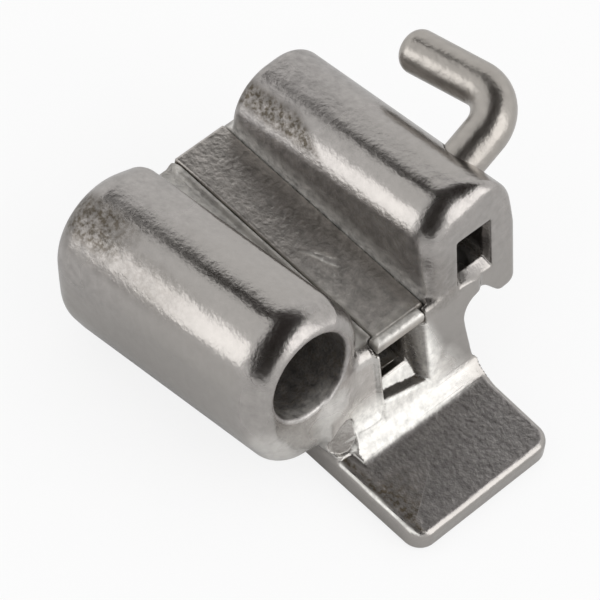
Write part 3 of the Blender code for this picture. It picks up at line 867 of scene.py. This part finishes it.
def cap_painted_highlight(points, normals):
    """Painted highlights on the bar across the cap's front, strongest where it faces up, and on the pliers'
    wrinkles, and a faint painted sheen on the strip towards its mesial end.
    """
    x, y, z = points.T
    # Painted highlight on the bar, painted sheen on the strip and painted glints on the wrinkles
    bar = ramp(x, WALL_X - NOSE_LENGTH - 0.01, WALL_X - NOSE_LENGTH + 0.02)
    sheen = 0.16 * ramp(x, -0.9, 0.1) * ramp(y, 0.42, 0.22) + PINCH_SHINE * np.abs(pinches(x, y))
    return bar * (0.15 + 0.4 * ramp(normals[:, 2], 0.3, 0.8)) + (1 - bar) * sheen


def cap_painted_shade(points, normals):
    """Painted shade along the cap's left edge and painted shadow behind the bar."""
    x, y, z = points.T
    behind = WALL_X - NOSE_LENGTH - x
    # Painted shade along the left edge and painted shadow behind the bar
    left = ramp(y, -0.17, -0.27) * ramp(x, -1.2, 0.3)
    front = ramp(behind, 0.22, 0.08) * ramp(behind, -0.01, 0.01)
    return 0.7 * np.maximum(left, front)


finish_marks(body, casting, casting_skin, casting_blast_and_highlight, casting_stain_and_shade)
finish_marks(cap, cap_shape, cap_skin, cap_painted_highlight, cap_painted_shade)
hook = bent_hook(drawn_steel)
for mark, level in zip(MARKS, (0.1, 0.1, 0.0)):
    write_attribute(hook, mark, np.full(len(hook.data.vertices), level))

body.data.materials.append(cast_steel)
cap.data.materials.append(rolled_steel)
for piece, node, slot in (
    (body, "tube_body", "cast_steel"),
    (cap, "slot_cap", "rolled_steel"),
    (hook, "hook", "drawn_steel"),
):
    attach(piece, "root")
    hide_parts(node)


# Studio: white room, white table, two large soft lamps, and grey flags that draw the dark reflections

LAMP_STRENGTH = 2.3
TABLE_HALF = 0.4
TABLE_DROP = 0.01

# Name, azimuth, elevation, distance, width and height in millimetres, and whether it is a lamp
PANELS = [
    ("key_lamp", -38, 14, 56, 26, 30, True),
    ("fill_lamp", 112, 32, 60, 48, 58, True),
    ("camera_flag", 26, 46, 60, 84, 96, False),
    ("ceiling_flag", -150, 74, 60, 60, 54, False),
    ("edge_flag", -98, 48, 62, 15, 18, False),
]


def glowing(name, colour, strength):
    """A surface that shines with one colour, whatever falls on it."""
    material = bpy.data.materials.new(name)
    material.use_nodes = True
    tree = material.node_tree
    tree.nodes.clear()
    glow = add_node(tree, "ShaderNodeEmission", Color=from_hex(colour), Strength=strength)
    add_node(tree, "ShaderNodeOutputMaterial", links={"Surface": glow.outputs[0]})
    return material


def aimed(azimuth, elevation):
    """The direction of a place in the room, from the part."""
    a, e = math.radians(azimuth), math.radians(elevation)
    return np.array([math.sin(a) * math.cos(e), -math.cos(a) * math.cos(e), math.sin(e)])


def panel(name, direction, distance, width, height, material, lamp):
    """A flat panel that faces the part from a direction, out of the camera's sight."""
    z = direction / np.linalg.norm(direction)
    x = np.cross((0.0, 0.0, 1.0), z)
    x /= np.linalg.norm(x)
    y = np.cross(z, x)
    centre = np.array([0.0, 0.0, 1.5]) + z * distance
    corners = [centre + x * a * width / 2 + y * b * height / 2 for a, b in ((-1, -1), (1, -1), (1, 1), (-1, 1))]
    mesh = bpy.data.meshes.new(name)
    mesh.from_pydata([tuple(p * MM) for p in corners], [], [(0, 1, 2, 3)])
    mesh.materials.append(material)
    card = bpy.data.objects.new(name, mesh)
    bpy.context.scene.collection.objects.link(card)
    card.visible_camera = False
    card.visible_shadow = False
    card.visible_diffuse = lamp


def studio():
    world = bpy.data.worlds.new("white_room")
    bpy.context.scene.world = world
    world.use_nodes = True
    room = world.node_tree.nodes["Background"].inputs
    room["Color"].default_value = (1, 1, 1, 1)
    room["Strength"].default_value = 1.0
    light = glowing("lamp", "#FFFFFF", LAMP_STRENGTH)
    dark = glowing("flag", "#2A2522", 1.0)
    for name, azimuth, elevation, distance, width, height, lamp in PANELS:
        panel(name, aimed(azimuth, elevation), distance, width, height, light if lamp else dark, lamp)


def table():
    """A card that is nearly white to the camera, and a shade greyer where the steel reflects it."""
    mesh = bpy.data.meshes.new("table")
    half = TABLE_HALF
    corners = [(-half, -half, 0), (half, -half, 0), (half, half, 0), (-half, half, 0)]
    mesh.from_pydata(corners, [], [(0, 1, 2, 3)])
    white = bpy.data.materials.new("white_card")
    white.use_nodes = True
    tree = white.node_tree
    tree.nodes.clear()
    ray = add_node(tree, "ShaderNodeLightPath").outputs
    share = add_node(tree, "ShaderNodeMath", MULTIPLY, {0: ray["Is Camera Ray"]}, i1=0.84)
    paint = add_node(tree, "ShaderNodeBsdfDiffuse", Color=from_hex("#DFDFDF"))
    glow = add_node(tree, "ShaderNodeEmission", Color=(1, 1, 1, 1), Strength=1.0)
    both = add_node(tree, "ShaderNodeMixShader", links={
        0: share.outputs[0], 1: paint.outputs[0], 2: glow.outputs[0]})
    add_node(tree, "ShaderNodeOutputMaterial", links={"Surface": both.outputs[0]})
    mesh.materials.append(white)
    top = bpy.data.objects.new("table", mesh)
    top.location.z = -TABLE_DROP * MM
    bpy.context.scene.collection.objects.link(top)


# Camera: a long lens from above the mesial end. AIM is where the tubes' origin falls in the picture, and
# SCALE is pixels per millimetre there. In the picture the tubes' axis runs down to the right by AXIS_DOWN
# and comes towards the camera by AXIS_NEAR of its length. ACROSS_UP is the slope of the line across them,
# and ROLL turns the part about its tubes from there.

IMAGE = 600
SCALE = 88.1
DISTANCE = 9000.0
AIM = (311.6, 377.7)
AXIS_DOWN = math.radians(35.8)
AXIS_NEAR = 0.507
ACROSS_UP = math.tan(math.radians(34.4))
ROLL = math.radians(2.0)
FILM = 36


def camera():
    flat = math.sqrt(1 - AXIS_NEAR * AXIS_NEAR)
    X = np.array([flat * math.cos(AXIS_DOWN), -flat * math.sin(AXIS_DOWN), AXIS_NEAR])
    Y = np.array([1.0, ACROSS_UP, -(X[0] + X[1] * ACROSS_UP) / X[2]])
    Y /= np.linalg.norm(Y)
    Z = np.cross(X, Y)
    c, s = math.cos(ROLL), math.sin(ROLL)
    axes = np.array([X, Y * c + Z * s, Z * c - Y * s])
    shift = (np.array(AIM) - IMAGE / 2) / SCALE
    place = axes @ np.array([-shift[0], shift[1], DISTANCE / SCALE]) * MM
    local = Matrix([[*axes[i], place[i]] for i in range(3)] + [[0, 0, 0, 1]])
    tube = Matrix.Translation(tuple(v * MM for v in TUBE_ORIGIN)) @ Matrix.Rotation(-TUBE_PITCH, 4, "Y")
    lens = bpy.data.cameras.new("camera")
    lens.sensor_width = FILM
    lens.lens = DISTANCE * FILM / IMAGE
    lens.clip_start, lens.clip_end = 0.001, 10
    eye = bpy.data.objects.new("camera", lens)
    bpy.context.scene.collection.objects.link(eye)
    eye.matrix_world = tube @ local
    bpy.context.scene.camera = eye


studio()
table()
camera()
bpy.context.scene.view_settings.view_transform = "Standard"
